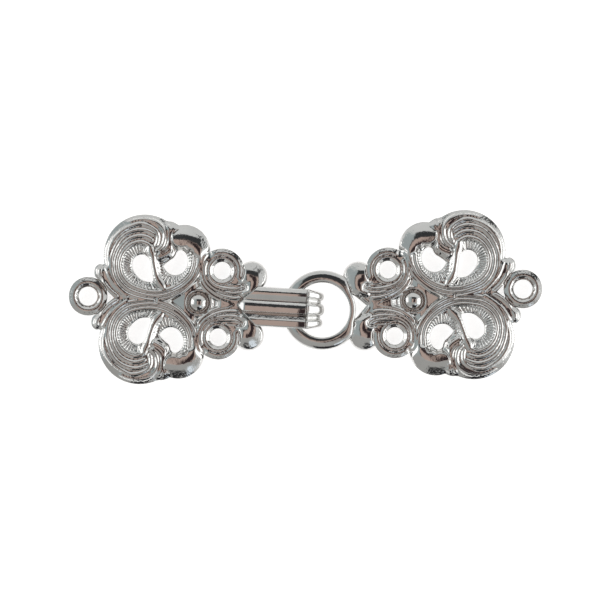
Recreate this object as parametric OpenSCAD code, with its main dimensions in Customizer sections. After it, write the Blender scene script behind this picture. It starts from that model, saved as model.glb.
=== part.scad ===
// Hook and eye clasp of cast metal scrollwork, fastened and lying flat on its back.
// Each half is one casting. The hook half lies along +X with the centre of its boss at the
// origin and its flat back on z = 0. The eye half hangs in the hook by its ring and is swung
// a little about the ring's centre.

/* [Plate] */
// Length of each scroll plate, from the back of its lobes to the front of its knobs
plate_l = 26.4; // [25.6:0.1:27.4]
// Width of each scroll plate over its two big lobes
plate_w = 27.2; // [26.4:0.1:28.2]
// Thickness of the sunk field between the ridges
plate_t = 1.3; // [1:0.1:1.5]
// Height of the ridges over the flat back
relief_h = 2.4; // [2.1:0.1:2.7]
// Height of the fluting inside the lobes over the flat back
flute_h = 1.75; // [1.6:0.05:1.95]

/* [Scrolls] */
// Radius of the big lobe's outline
lobe_r = 6.6; // [6.3:0.1:6.9]
// Radius of the side lobe's outline
side_r = 4.15; // [3.9:0.05:4.4]
// Radius of the small scroll's outline
small_r = 3.55; // [3.4:0.05:3.8]
// Radius of the knob's outline
knob_r = 2.4; // [2.2:0.05:2.6]
// Height of the domed side lobes and knobs over the flat back
dome_h = 2.7; // [2.4:0.1:3]
// Radius of the sewing hole in each small scroll
sew_r = 1.4; // [1.2:0.05:1.6]

/* [End loop] */
// Radius of the hole in the end loop
loop_r = 1.5; // [1.3:0.05:1.7]
// Width of the metal round the hole in the end loop
loop_wall = 1.6; // [1.4:0.05:1.9]
// Height of the end loop's rim over the flat back
loop_h = 2; // [1.8:0.1:2.3]

/* [Boss] */
// Radius of the round bead in the middle of the plate
boss_r = 1.45; // [1.2:0.05:1.6]
// Height of the bead over the flat back
boss_h = 2.9; // [2.6:0.1:3.2]
// Radius of the ridge round the bead
collar_r = 2.05; // [1.9:0.05:2.2]
// Height of that ridge over the flat back
collar_h = 2.1; // [1.8:0.1:2.4]

/* [Hook] */
// Distance from the boss to the outside of the hook's bend
hook_reach = 20.2; // [19.8:0.1:21]
// Width of the hook's ribbed arm
hook_w = 6.3; // [5.7:0.1:6.6]
// Thickness of the arm under its ribs
hook_t = 0.75; // [0.65:0.05:1]
// Height of the arm's middle rib over its flat
rib_h = 0.8; // [0.6:0.05:0.9]
// Thickness of the tongue that returns under the ring
tongue_t = 0.9; // [0.7:0.05:1.1]
// Width of that tongue
tongue_w = 4.6; // [4:0.1:5.2]
// Length of that tongue behind the bend
tongue_l = 5.4; // [4.9:0.1:5.8]

/* [Ring] */
// Radius of the ring's hole
ring_r = 4.4; // [4.2:0.05:4.7]
// Width of the ring's wire
ring_wire = 1.95; // [1.7:0.05:2.1]
// Height of the ring's wire
ring_h = 1.6; // [1.4:0.05:1.7]
// Width of the ring's wire where it joins the plate
ring_root = 0.95; // [0.85:0.05:1.2]
// Clearance over and under the ring in the hook
ring_play = 0.2; // [0.15:0.05:0.3]
// Free travel between the ring and the hook's bend
ring_slack = 3.1; // [2.9:0.1:3.3]
// Angle between the two halves, in degrees
eye_yaw = 9.4; // [-20:0.1:20]

/* [Hidden] */
round_fn = 32;
ring_fn = 28;
coarse_fn = 18;
rim_step = 0.9;
line_drop = 0.1;
cut = 1;
seam = 0.02;

// Heights that follow from the hook's throat
ring_z = tongue_t + ring_play;
arm_under = ring_z + ring_h + ring_play;
arm_flat = arm_under + hook_t;
bend_r = (arm_under - tongue_t) / 2;

// Places along the halves, measured from the boss
bend_x = hook_reach - rib_h - (hook_t + tongue_t) / 2 - bend_r;
ring_centre = bend_x + bend_r - ring_slack + ring_r;
ring_back = 0.352 * plate_l;
eye_centre = ring_back + ring_root + ring_r;
loop_out = loop_r + loop_wall;
loop_x = -0.553 * plate_l - loop_out;

// Half widths of the raised lines, and the width of the ridges round the bead and the holes
fine = 0.009 * plate_w;
line_w = 0.0115 * plate_w;
collar_w = 3 * fine;

// Cross sections of the raised lines: sideways share, height share
RIDGE = [[1, 0], [-1, 0], [0, 1]];
TUBE = [[1, 0], [-1, 0], [-0.75, 0.75], [0, 1], [0.75, 0.75]];
BAND = [[1, 0], [-1, 0], [-0.5, 1], [0.5, 1]];

// Centres of the outline's circles: the lobes reach the plate's back and side, the knobs its front
lobe_at = [lobe_r - 0.591 * plate_l, 0.5 * plate_w - lobe_r];
side_at = [-0.104 * plate_l, 0.454 * plate_w - side_r];
small_at = [0.133 * plate_l, 0.327 * plate_w - small_r];
knob_at = [0.408 * plate_l - knob_r, 0.263 * plate_w - knob_r];
// Smooth rims on two of those circles: first and last bearing in degrees, half width share
LOBE_RIM = [135, 70, 0.016];
SMALL_RIM = [125, 5, 0.018];

// Ridge round the big lobe's opening: x share, y share, pitch to the next ridge outwards
LOBE_LINE = [
    [-0.318, 0.322, 0.033], [-0.364, 0.335, 0.036], [-0.428, 0.316, 0.035],
    [-0.473, 0.268, 0.031], [-0.491, 0.202, 0.029], [-0.470, 0.132, 0.029],
    [-0.417, 0.081, 0.026], [-0.341, 0.055, 0.025], [-0.265, 0.050, 0.024],
    [-0.197, 0.062, 0.024], [-0.129, 0.094, 0.024], [-0.072, 0.143, 0.024],
    [-0.042, 0.206, 0.022], [-0.036, 0.268, 0.021], [-0.055, 0.338, 0.018]];
// Ridge round the small scroll, with the same columns
SMALL_LINE = [
    [0.087, 0.290, 0.017], [0.045, 0.254, 0.017], [0.030, 0.199, 0.018],
    [0.044, 0.147, 0.018], [0.083, 0.110, 0.020], [0.136, 0.088, 0.021],
    [0.197, 0.083, 0.022], [0.246, 0.088, 0.021], [0.280, 0.110, 0.018]];

// Single raised lines: x share, y share
CURL_IN = [[-0.386, 0.441], [-0.330, 0.432], [-0.280, 0.404], [-0.263, 0.360], [-0.280, 0.312]];
CURL_OUT = [[-0.466, 0.434], [-0.402, 0.471], [-0.337, 0.480], [-0.273, 0.456],
    [-0.233, 0.412], [-0.227, 0.360], [-0.250, 0.309], [-0.284, 0.279]];
WEDGE_BACK = [[-0.212, 0.456], [-0.195, 0.404], [-0.201, 0.360], [-0.201, 0.324], [-0.231, 0.290]];
WEDGE_FRONT = [[-0.155, 0.445], [-0.180, 0.401], [-0.178, 0.360], [-0.155, 0.327]];
BRIDGE = [[-0.186, 0.320], [-0.197, 0.290], [-0.231, 0.265], [-0.273, 0.250]];
LEAF = [[-0.481, 0.004], [-0.530, 0.035], [-0.572, 0.077], [-0.602, 0.125],
    [-0.617, 0.162], [-0.610, 0.188]];
FRONT_STRIP = [[0.261, 0.004], [0.311, 0.048], [0.382, 0.114]];

// Swelling lines: x share, y share, half width as a share of the width. They have their full
// height from the given half width on
FULL_FROM = 0.02;
DIVIDER = [[-0.307, 0.312, 0.015], [-0.303, 0.283, 0.017], [-0.284, 0.232, 0.011],
    [-0.275, 0.184, 0.011], [-0.259, 0.140, 0.014], [-0.239, 0.103, 0.019], [-0.208, 0.070, 0.004]];
SIDE_DOME = [[-0.155, 0.386, 0.030], [-0.110, 0.393, 0.052], [-0.042, 0.379, 0.058],
    [0.008, 0.335, 0.046], [0.017, 0.279, 0.024], [0.004, 0.228, 0.006]];
KNOB_DOME = [[0.261, 0.210, 0.022], [0.295, 0.215, 0.038], [0.341, 0.198, 0.048],
    [0.364, 0.156, 0.040], [0.352, 0.114, 0.024], [0.318, 0.077, 0.016], [0.277, 0.051, 0.006]];

// Outlines of the two pierced openings in each big lobe
BACK_OPENING = [[-0.364, 0.261], [-0.324, 0.252], [-0.295, 0.199], [-0.284, 0.108],
    [-0.345, 0.114], [-0.394, 0.153], [-0.415, 0.206], [-0.402, 0.241]];
SIDE_OPENING = [[-0.222, 0.206], [-0.172, 0.250], [-0.153, 0.285], [-0.127, 0.300],
    [-0.091, 0.276], [-0.078, 0.232], [-0.098, 0.178], [-0.148, 0.154], [-0.197, 0.169]];
// Edges of the web that fills the plate between its circles, at the back and at the front
WEB_BACK = [[-0.527, 0], [-0.553, 0.033], [-0.591, 0.074], [-0.640, 0.125], [-0.644, 0.158],
    [-0.610, 0.195], [-0.576, 0.191]];
WEB_NOTCH = [0.019, 0.301];
WEB_FRONT = [[0.360, 0.096], [0.330, 0.070], [0.265, 0.022], [0.235, 0]];

// Fans of flutes: centre x share, y share, first and last bearing in degrees, number of flutes
BACK_FAN = [-0.356, 0.199, 75, 300, 24];
SIDE_FAN = [-0.150, 0.228, 178, 405, 21];
// Half width of a flute as a share of the step to the next one
FLUTE = 0.38;

function at(p) = [p[0] * plate_l, p[1] * plate_w];
function unit(v) = v / norm(v);

// A smooth curve through rows of numbers, with n steps from row to row
function blend(a, b, c, d, t) = 0.5 * (2 * b + (c - a) * t
    + (2 * a - 5 * b + 4 * c - d) * t * t + (3 * b - a - 3 * c + d) * t * t * t);
function smooth(rows, n) = let (last = len(rows) - 1) [
    for (i = [0:last - 1], j = [0:n - 1])
        blend(rows[max(i - 1, 0)], rows[i], rows[i + 1], rows[min(i + 2, last)], j / n),
    rows[last]];
function closed(rows, n) = let (m = len(rows)) [for (i = [0:m - 1], j = [0:n - 1])
    blend(rows[(i + m - 1) % m], rows[i], rows[(i + 1) % m], rows[(i + 2) % m], j / n)];

// Left-hand normal of a path at row i
function side_of(path, i) = let (
    d = path[min(i + 1, len(path) - 1)] - path[max(i - 1, 0)]) unit([-d[1], d[0]]);
// How full a raised line is at row i: it runs out to a quarter over the rows at each end
function fullness(i, count, tip) = let (left = min(i, count - 1 - i) / tip) min(1, (1 + 3 * left) / 4);

// The k-th line outside a table of rows with a pitch column
function parallel(table, k, n) = let (rows = smooth(table, n)) [for (i = [0:len(rows) - 1]) let (
    path = [for (r = rows) at(r)]) path[i] - side_of(path, i) * k * rows[i][2] * plate_w];

// A skin over loops of points, each loop one station of the solid: it is capped at both ends,
// or runs round into itself
module skin(loops, round = false) {
    n = len(loops[0]);
    m = len(loops);
    sides = [for (i = [0:m - (round ? 1 : 2)], j = [0:n - 1]) let (k = (j + 1) % n, o = (i + 1) % m)
        each [[i * n + j, i * n + k, o * n + k], [i * n + j, o * n + k, o * n + j]]];
    caps = round ? [] : [[for (j = [n - 1:-1:0]) j], [for (j = [0:n - 1]) (m - 1) * n + j]];
    polyhedron([for (l = loops) each l], concat(sides, caps), convexity = 8);
}

// A raised line along a path of [x, y, half width, top] rows
module raised(path, section) {
    foot = plate_t;
    skin([for (i = [0:len(path) - 1]) let (p = path[i], s = side_of([for (q = path) [q[0], q[1]]], i))
        [for (q = section)
            [p[0] + s[0] * q[0] * p[2], p[1] + s[1] * q[0] * p[2], foot + (p[3] - foot) * q[1]]]]);
}

module line(points, half, top, tip = 2) {
    count = len(points);
    raised([for (i = [0:count - 1]) let (f = fullness(i, count, tip))
        [points[i][0], points[i][1], half * f, plate_t + (top - plate_t) * f]], RIDGE);
}

module swelling(table, top, section, n) {
    raised([for (r = smooth(table, n)) [r[0] * plate_l, r[1] * plate_w, r[2] * plate_w,
        plate_t + (top - plate_t) * min(1, r[2] / FULL_FROM)]], section);
}

// The rows of a path from one share of its length to another
function stretch(path, from, to) = let (last = len(path) - 1) [
    for (i = [round(from * last):round(to * last)]) path[i]];

module lobe_lines() {
    // share of the curve that each line follows: first, last
    spans = [[0, 1], [0, 1], [0, 1], [0, 0.5]];
    for (k = [0:len(spans) - 1])
        line(stretch(parallel(LOBE_LINE, k, 2), spans[k][0], spans[k][1]), line_w, relief_h);
}

module small_lines() {
    // share of the curve that each line follows: first, last
    spans = [[0, 1], [0, 0.95], [0.2, 0.9]];
    for (k = [0:len(spans) - 1])
        line(stretch(parallel(SMALL_LINE, k, 2), spans[k][0], spans[k][1]), fine, relief_h - k * line_drop);
}

module single_lines() {
    for (t = [CURL_IN, CURL_OUT]) line([for (r = smooth(t, 2)) at(r)], line_w, relief_h);
    for (t = [WEDGE_BACK, WEDGE_FRONT, BRIDGE, LEAF]) line([for (r = t) at(r)], line_w, relief_h, 1);
    line([for (r = FRONT_STRIP) at(r)], line_w, relief_h - 2 * line_drop, 1);
}

// How far a ray from a point runs before it meets a path
function reach(path, from, dir) = min([for (i = [0:len(path) - 2]) let (
    edge = path[i + 1] - path[i], gap = path[i] - from, d = cross(dir, edge))
    d != 0 && cross(gap, dir) / d >= 0 && cross(gap, dir) / d <= 1 && cross(gap, edge) / d > 0
        ? cross(gap, edge) / d : plate_l]);

// Radial flutes that fan out between an opening and the lines round it
module fan(f, opening, walls) {
    centre = at(f);
    step = (f[3] - f[2]) / (f[4] - 1);
    inner = [for (p = closed(opening, 2)) at(p)];
    for (i = [0:f[4] - 1]) {
        a = f[2] + step * i;
        dir = [cos(a), sin(a)];
        across = [-dir[1], dir[0]];
        near = reach(concat(inner, [inner[0]]), centre, dir) + fine;
        far = min([for (w = walls) reach(w, centre, dir)]) - line_w - fine / 2;
        if (far > near + fine) skin([for (r = [near, far]) let (half = FLUTE * r * step * PI / 180)
            [for (q = RIDGE)
                [centre[0] + dir[0] * r + across[0] * q[0] * half,
                 centre[1] + dir[1] * r + across[1] * q[0] * half,
                 plate_t + (flute_h - plate_t) * q[1] * r / far]]]);
    }
}

// One side of the plate's outline
module side_outline() {
    for (c = [[lobe_at, lobe_r], [side_at, side_r], [small_at, small_r], [knob_at, knob_r]])
        translate(c[0]) circle(r = c[1], $fn = round_fn);
    polygon([for (p = WEB_BACK) at(p), lobe_at, side_at, at(WEB_NOTCH), small_at, knob_at,
        for (p = WEB_FRONT) at(p)]);
}

module openings() {
    for (t = [BACK_OPENING, SIDE_OPENING])
        translate([0, 0, -cut]) linear_extrude(relief_h + 2 * cut) polygon([for (p = closed(t, 2)) at(p)]);
}

// Smooth rim that rounds the edge of an outline circle
module rim(centre, r, table) {
    sweep = table[1] - table[0];
    half = table[2] * plate_w;
    steps = round(abs(sweep) * PI / 180 * r / rim_step);
    raised([for (i = [0:steps]) let (a = table[0] + sweep * i / steps, f = fullness(i, steps + 1, 2))
        [centre[0] + (r - half) * cos(a), centre[1] + (r - half) * sin(a), half * f,
         plate_t + (relief_h - plate_t) * f]], BAND);
}

module scroll_side() {
    walls = [parallel(LOBE_LINE, 0, 2), [for (r = smooth(DIVIDER, 2)) at(r)],
        [for (r = smooth(BRIDGE, 2)) at(r)]];
    difference() {
        union() {
            linear_extrude(plate_t) side_outline();
            rim(lobe_at, lobe_r, LOBE_RIM);
            rim(small_at, small_r, SMALL_RIM);
            translate(small_at) collar(sew_r + 0.7 * fine, relief_h);
            lobe_lines();
            small_lines();
            single_lines();
            swelling(DIVIDER, relief_h + line_drop, TUBE, 1);
            swelling(SIDE_DOME, dome_h, TUBE, 2);
            swelling(KNOB_DOME, dome_h, TUBE, 2);
            fan(BACK_FAN, BACK_OPENING, walls);
            fan(SIDE_FAN, SIDE_OPENING, walls);
        }
        openings();
    }
}

// A round ridge of the given inner radius and height
module collar(r, top) {
    rotate_extrude($fn = coarse_fn) polygon([[r, 0], [r + collar_w, 0], [r + collar_w, plate_t],
        [r + collar_w / 2, top], [r, plate_t]]);
}

module boss() {
    collar(collar_r - collar_w / 2, collar_h);
    bead_z = boss_h - boss_r;
    intersection() {
        translate([0, 0, bead_z]) sphere(r = boss_r, $fn = coarse_fn);
        cylinder(r = boss_r, h = boss_h, $fn = coarse_fn);
    }
    cylinder(r = boss_r - seam, h = bead_z, $fn = coarse_fn);
}

// Section of the end loop's rounded rim: share of the wall outwards from the hole, height share
LOOP_RIM = [[-0.2, 0], [0.8, 0], [1, 0.4], [0.75, 0.85], [0.5, 1], [0.2, 0.8], [-0.2, 0.8]];

module end_loop() {
    translate([loop_x, 0, 0]) rotate_extrude($fn = ring_fn)
        polygon([for (q = LOOP_RIM) [loop_r + q[0] * loop_wall, q[1] * loop_h]]);
}

// Everything that both castings share, before the holes are drilled
module scroll_plate() {
    for (s = [0, 1]) mirror([0, s, 0]) intersection() {
        scroll_side();
        translate([-2 * plate_l, -seam, -cut]) cube([4 * plate_l, plate_w, 4 * relief_h]);
    }
    boss();
    end_loop();
}

// Round holes through a casting for thread or a jump ring
module sewing_holes() {
    translate([loop_x, 0, -cut]) cylinder(r = loop_r, h = loop_h + 2 * cut, $fn = round_fn);
    for (s = [-1, 1]) translate([small_at[0], s * small_at[1], -cut])
        cylinder(r = sew_r, h = relief_h + 2 * cut, $fn = round_fn);
}

// Ribbed section of the hook, from one edge over the ribs to the other:
// y share of the half width, height share of the middle rib
RIBS = [[-1, 0], [-0.93, 0.5], [-0.5, 0.5], [-0.42, 0.1], [-0.36, 0.1], [-0.28, 1],
    [0.28, 1], [0.36, 0.1], [0.42, 0.1], [0.5, 0.5], [0.93, 0.5], [1, 0]];

// How the arm grows out of the plate: x share of the length, underside as a share of the
// throat's top, half width share, top over the arm's flat in rib heights, rib height share
ROOT = [[0.235, 0.2, 0.02, -1.5, 0.5], [0.277, 0.2, 0.42, -0.8, 0.9], [0.352, 0.2, 1, -0.5, 1],
    [0.371, 0.4, 1, -0.4, 1], [0.424, 1, 1, 0, 1]];

// How the tongue ends: distance from its tip in thicknesses, half width share, thickness share
TONGUE = [[0.8, 1, 1], [0.25, 0.75, 0.8], [0, 0.45, 0.5]];

// One station of the hook: place of the underside, lean in degrees, half width,
// thickness and height of the ribs
function hook_loop(x, z, lean, half, thick, rib) = let (up = [-sin(lean), cos(lean)])
    [[x, half, z], [x, -half, z],
     for (q = RIBS) let (h = thick + rib * q[1]) [x + up[0] * h, half * q[0], z + up[1] * h]];

module hook() {
    half = hook_w / 2;
    back = tongue_w / 2;
    tip_x = bend_x - tongue_l;
    root = [for (r = ROOT) hook_loop(r[0] * plate_l, r[1] * arm_under, 0, r[2] * half,
        arm_flat + r[3] * rib_h - r[1] * arm_under, rib_h * r[4])];
    // the ribs run out in the second half of the bend
    bend = [for (a = [0:22.5:180]) let (t = a / 180)
        hook_loop(bend_x + bend_r * sin(a), tongue_t + bend_r + bend_r * cos(a), -a,
            half + (back - half) * t, hook_t + (tongue_t - hook_t) * t, rib_h * min(1, max(0, 2.5 - 3 * t)))];
    tongue = [for (r = TONGUE)
        hook_loop(tip_x + r[0] * tongue_t, tongue_t, -180, r[1] * back, r[2] * tongue_t, 0)];
    skin(concat(root, bend, tongue));
}

// Section of the ring's wire: outward share, height share
WIRE = [[0, 0.25], [0.3, 0], [0.7, 0], [1, 0.3], [1, 0.65], [0.75, 0.95], [0.4, 1], [0, 0.7]];
// Wire of the ring at a bearing: it is thin within the first angle of the plate's axis and has
// its full width from the second angle on
THIN = [24, 50];
function ring_width(a) = let (d = min(1, max(0, (abs(180 - a) - THIN[0]) / (THIN[1] - THIN[0]))))
    ring_root + (ring_wire - ring_root) * d * d * (3 - 2 * d);

module ring() {
    translate([eye_centre, 0, 0]) skin([for (i = [0:round_fn - 1]) let (
        a = 360 * i / round_fn, w = ring_width(a)) [for (q = WIRE)
            [(ring_r + q[0] * w) * cos(a), (ring_r + q[0] * w) * sin(a), ring_z + q[1] * ring_h]]],
        round = true);
}

module hook_half() {
    color("silver") difference() {
        resize([0, 0, arm_flat + rib_h]) union() {
            scroll_plate();
            hook();
        }
        sewing_holes();
    }
}

module eye_half() {
    color("silver") translate([ring_centre, 0, 0]) rotate([0, 0, eye_yaw]) mirror([1, 0, 0])
        translate([-eye_centre, 0, 0]) difference() {
            resize([0, 0, max(boss_h, dome_h, ring_z + ring_h)]) union() {
                scroll_plate();
                ring();
            }
            sewing_holes();
        }
}

hook_half();
eye_half();
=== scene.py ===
"""Looks of a hook and eye clasp: two polished castings with scrollwork, a ribbed hook and a ring.

Each casting is one closed mesh, worked out in millimetres in its own frame (boss at the origin,
x towards the middle of the clasp, flat back on z = 0) and then set in the frame's place in metres.
"""
import math

import bpy
import numpy as np
from mathutils import Matrix, Vector
from mathutils.geometry import delaunay_2d_cdt


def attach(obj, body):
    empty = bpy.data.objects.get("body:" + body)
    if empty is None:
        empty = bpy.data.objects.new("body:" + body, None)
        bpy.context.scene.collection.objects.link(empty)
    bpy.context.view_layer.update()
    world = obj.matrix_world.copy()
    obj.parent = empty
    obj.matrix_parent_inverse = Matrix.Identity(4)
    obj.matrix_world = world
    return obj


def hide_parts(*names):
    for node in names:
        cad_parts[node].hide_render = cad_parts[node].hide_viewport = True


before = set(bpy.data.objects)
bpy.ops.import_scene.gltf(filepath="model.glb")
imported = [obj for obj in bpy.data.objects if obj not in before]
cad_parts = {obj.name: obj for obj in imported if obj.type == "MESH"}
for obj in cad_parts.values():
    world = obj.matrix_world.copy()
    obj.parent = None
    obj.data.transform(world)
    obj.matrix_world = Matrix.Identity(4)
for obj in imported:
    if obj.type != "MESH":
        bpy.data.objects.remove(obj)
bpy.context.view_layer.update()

MM = 0.001

# Sizes of the castings, in millimetres
PLATE_L, PLATE_W = 26.4, 27.2
LINE_TOP, DOME_TOP = 2.4, 2.7
LOBE_R, SIDE_R, SMALL_R, KNOB_R = 6.6, 4.15, 3.55, 2.4
SEW_R, LOOP_R, LOOP_WALL = 1.4, 1.5, 1.6
BOSS_R, BOSS_H, COLLAR_R, COLLAR_H = 1.45, 2.9, 2.05, 2.1
HOOK_REACH, HOOK_W, HOOK_T, RIB_H = 20.2, 6.3, 0.75, 0.8
TONGUE_T, TONGUE_W, TONGUE_L = 0.9, 4.6, 5.4
RING_R, RING_WIRE, RING_H, RING_ROOT = 4.4, 1.95, 1.6, 0.95
RING_PLAY, RING_SLACK, EYE_YAW = 0.2, 3.1, 9.4

# What follows from them
RING_Z = TONGUE_T + RING_PLAY
ARM_UNDER = RING_Z + RING_H + RING_PLAY
ARM_FLAT = ARM_UNDER + HOOK_T
BEND_R = (ARM_UNDER - TONGUE_T) / 2
BEND_X = HOOK_REACH - RIB_H - (HOOK_T + TONGUE_T) / 2 - BEND_R
RING_CENTRE = BEND_X + BEND_R - RING_SLACK + RING_R
EYE_CENTRE = 0.352 * PLATE_L + RING_ROOT + RING_R
LOOP_OUT = LOOP_R + LOOP_WALL
LOOP_AT = (-0.553 * PLATE_L - LOOP_OUT, 0.0)
LOBE_AT = (LOBE_R - 0.591 * PLATE_L, 0.5 * PLATE_W - LOBE_R)
SIDE_AT = (-0.104 * PLATE_L, 0.454 * PLATE_W - SIDE_R)
SMALL_AT = (0.133 * PLATE_L, 0.327 * PLATE_W - SMALL_R)
KNOB_AT = (0.408 * PLATE_L - KNOB_R, 0.263 * PLATE_W - KNOB_R)

# How finely the meshes are cut, in millimetres: along the outline, along the lines, between them and on
# the back, then the least distance between two points and that of a point from an edge
EDGE_STEP = 0.12
LINE_STEP = 0.12
FILL_STEP = 0.115
BACK_STEP = 0.8
CLOSEST = 0.062
EDGE_CLEAR = 0.045
# A distance that reaches across the whole plate
FAR = 30
# Points measured at a time
BATCH = 3000


# Paths

def resample(path, step):
    """The same path in steps of even length; further columns follow along."""
    run = np.concatenate([[0], np.cumsum(np.hypot(*np.diff(path[:, :2], axis=0).T))])
    at = np.linspace(0, run[-1], max(3, int(round(run[-1] / step)) + 1))
    return np.column_stack([np.interp(at, run, column) for column in path.T])


def curve_piece(a, b, c, d):
    """Rows of a smooth curve from b up to c, with a and d the rows before and after."""
    t = np.linspace(0, 1, 16, endpoint=False)[:, None]
    return 0.5 * (2 * b + (c - a) * t + (2 * a - 5 * b + 4 * c - d) * t ** 2
                  + (3 * b - a - 3 * c + d) * t ** 3)


def spline(points, step=LINE_STEP):
    """A smooth curve through rows of numbers."""
    p = np.array(points, float)
    p = np.vstack([2 * p[0] - p[1], p, 2 * p[-1] - p[-2]])
    parts = [curve_piece(*rows) for rows in zip(p, p[1:], p[2:], p[3:])]
    return resample(np.vstack(parts + [p[-2:-1]]), step)


def closed_spline(points, step=EDGE_STEP):
    """A smooth closed curve through the points; its last point isn't repeated."""
    p = np.array(points, float)
    parts = [curve_piece(*(p[(i + k) % len(p)] for k in (-1, 0, 1, 2))) for i in range(len(p))]
    return resample(np.vstack(parts + [parts[0][:1]]), step)[:-1]


def arc(centre, r, start, end, step=EDGE_STEP):
    """Points on a circle from one bearing to another, in degrees."""
    n = max(3, int(round(abs(math.radians(end - start)) * r / step)) + 1)
    a = np.radians(np.linspace(start, end, n))
    return np.column_stack([centre[0] + r * np.cos(a), centre[1] + r * np.sin(a)])


def bearing(centre, point):
    return math.degrees(math.atan2(point[1] - centre[1], point[0] - centre[0]))


def meet(a, ra, b, rb):
    """Where two circles cross, on the left of the way from a to b."""
    d = math.dist(a, b)
    along = (d * d + ra * ra - rb * rb) / (2 * d)
    off = math.sqrt(ra * ra - along * along)
    u = ((b[0] - a[0]) / d, (b[1] - a[1]) / d)
    return a[0] + u[0] * along - u[1] * off, a[1] + u[1] * along + u[0] * off


def normals(path, closed=False):
    """Unit normals on the left of a path."""
    if closed:
        d = np.roll(path, -1, axis=0) - np.roll(path, 1, axis=0)
    else:
        d = np.gradient(path[:, :2], axis=0)
    n = np.column_stack([-d[:, 1], d[:, 0]])
    return n / np.linalg.norm(n, axis=1)[:, None]


def parallel(path, k):
    """The k-th line on the right of a path whose third column is the pitch."""
    return resample(path[:, :2] - normals(path) * (k * path[:, 2:3]), LINE_STEP)


def share(path, first, last):
    """The part of a path between two shares of its length."""
    n = len(path) - 1
    return path[int(round(first * n)):int(round(last * n)) + 1]


def nearest(points, path, reach, closed=False):
    """For each point the distance to a path (left of it positive, infinite beyond reach) and its place
    along the path, in rows."""
    if closed:
        path = np.vstack([path, path[:1]])
    dist, along = np.full(len(points), np.inf), np.zeros(len(points))
    a, edge = path[:-1, :2], np.diff(path[:, :2], axis=0)
    size = (edge ** 2).sum(1)
    low, high = path[:, :2].min(0) - reach, path[:, :2].max(0) + reach
    inside = np.flatnonzero(((points > low) & (points < high)).all(1))
    for some in np.array_split(inside, len(inside) // BATCH + 1):
        gap = points[some, None] - a
        t = np.clip((gap * edge).sum(2) / size, 0, 1)
        off = gap - t[..., None] * edge
        d = np.hypot(off[..., 0], off[..., 1])
        k = d.argmin(1)
        row = np.arange(len(some))
        side = np.sign(edge[k, 0] * gap[row, k, 1] - edge[k, 1] * gap[row, k, 0])
        dist[some] = d[row, k] * np.where(side == 0, 1, side)
        along[some] = k + t[row, k]
    return dist, along


# Far under every height of the clasp
DEEP = 9


def ramp(x):
    """From 0 to 1, smooth at both ends."""
    x = np.clip(x, 0, 1)
    return x * x * (3 - 2 * x)


def soft_max(a, b, soft):
    """The greater of two heights, blended where they differ by less than soft."""
    b = np.maximum(b, a - DEEP)
    h = np.clip(0.5 + 0.5 * (a - b) / soft, 0, 1)
    return b + (a - b) * h + soft * h * (1 - h)


# Lines of the scrollwork's upper half. Rows are x and y, and a third number is the pitch of the lobe's
# lines or the half width of the divider and the domes

LOBE_LINE = [(-8.0, 8.55, 0.85), (-8.7, 8.9, 0.95), (-9.8, 9.15, 0.97), (-11.3, 8.6, 0.93),
             (-12.45, 7.3, 0.76), (-12.9, 5.5, 0.71), (-12.4, 3.6, 0.71), (-11.0, 2.2, 0.74),
             (-9.0, 1.5, 0.68), (-7.0, 1.3, 0.66), (-5.2, 1.7, 0.66), (-3.4, 2.6, 0.66),
             (-1.9, 4.0, 0.64), (-1.2, 5.6, 0.62), (-1.1, 7.3, 0.6), (-1.55, 9.3, 0.5)]
CURL_IN = [(-11.0, 0.12), (-12.2, 0.95), (-13.8, 2.5), (-14.75, 4.2), (-14.95, 6.0), (-14.7, 7.8),
           (-14.05, 9.25), (-13.05, 10.5), (-11.85, 11.35), (-10.2, 12.05), (-8.8, 11.85), (-7.6, 11.25),
           (-7.05, 10.3), (-7.1, 9.2), (-7.55, 8.35)]
CURL_OUT = [(-12.0, 12.25), (-10.8, 12.75), (-9.2, 12.95), (-7.8, 12.6), (-6.7, 11.9), (-6.05, 11.0),
            (-5.95, 10.0), (-6.2, 8.9), (-6.8, 8.15), (-7.55, 7.65)]
NECK_BACK = [(-5.75, 12.3), (-5.3, 11.3), (-5.25, 10.2), (-5.25, 9.3), (-5.5, 8.6), (-6.1, 8.0),
             (-7.0, 7.4)]
NECK_FRONT = [(-4.2, 12.4), (-4.95, 11.3), (-5.05, 10.5)]
BRIDGE_OUT = [(-5.0, 8.75), (-5.3, 8.05), (-5.95, 7.55), (-6.7, 7.2), (-7.4, 6.95)]
BRIDGE_IN = [(-4.7, 8.5), (-5.0, 7.85), (-5.65, 7.3), (-6.45, 6.9), (-7.15, 6.5)]
DOME_EDGE = [(-3.85, 12.15), (-4.5, 11.4), (-4.78, 10.5), (-4.68, 9.7), (-4.3, 9.1), (-3.5, 8.8),
             (-2.6, 8.9)]
STAR_EDGE = [(-7.0, 0.1), (-6, 0.2), (-5, 0.42), (-4, 0.85), (-3, 1.45), (-2, 2.35), (-1, 3.45),
             (-0.35, 4.5), (0.0, 5.6), (0.15, 6.8), (0.45, 7.8), (0.95, 8.6)]
LEAF_IN = [(-12.6, 0.1), (-13.9, 0.95), (-15.0, 2.05), (-15.75, 3.2), (-16.05, 4.3), (-15.95, 5.0)]
SCROLL_EDGE = [(0.0, 3.75), (0.55, 2.75), (1.5, 1.8), (2.5, 1.1), (4, 0.5), (5.4, 0.2)]
SCROLL_OUT = [(1.1, 8.2), (0.55, 7.3), (0.3, 6.1), (0.25, 5.0), (0.5, 3.9), (1.1, 2.9), (2, 2.15),
              (3, 1.6), (4, 1.28), (5, 1.1), (6, 1.05), (7, 1.25)]
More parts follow.
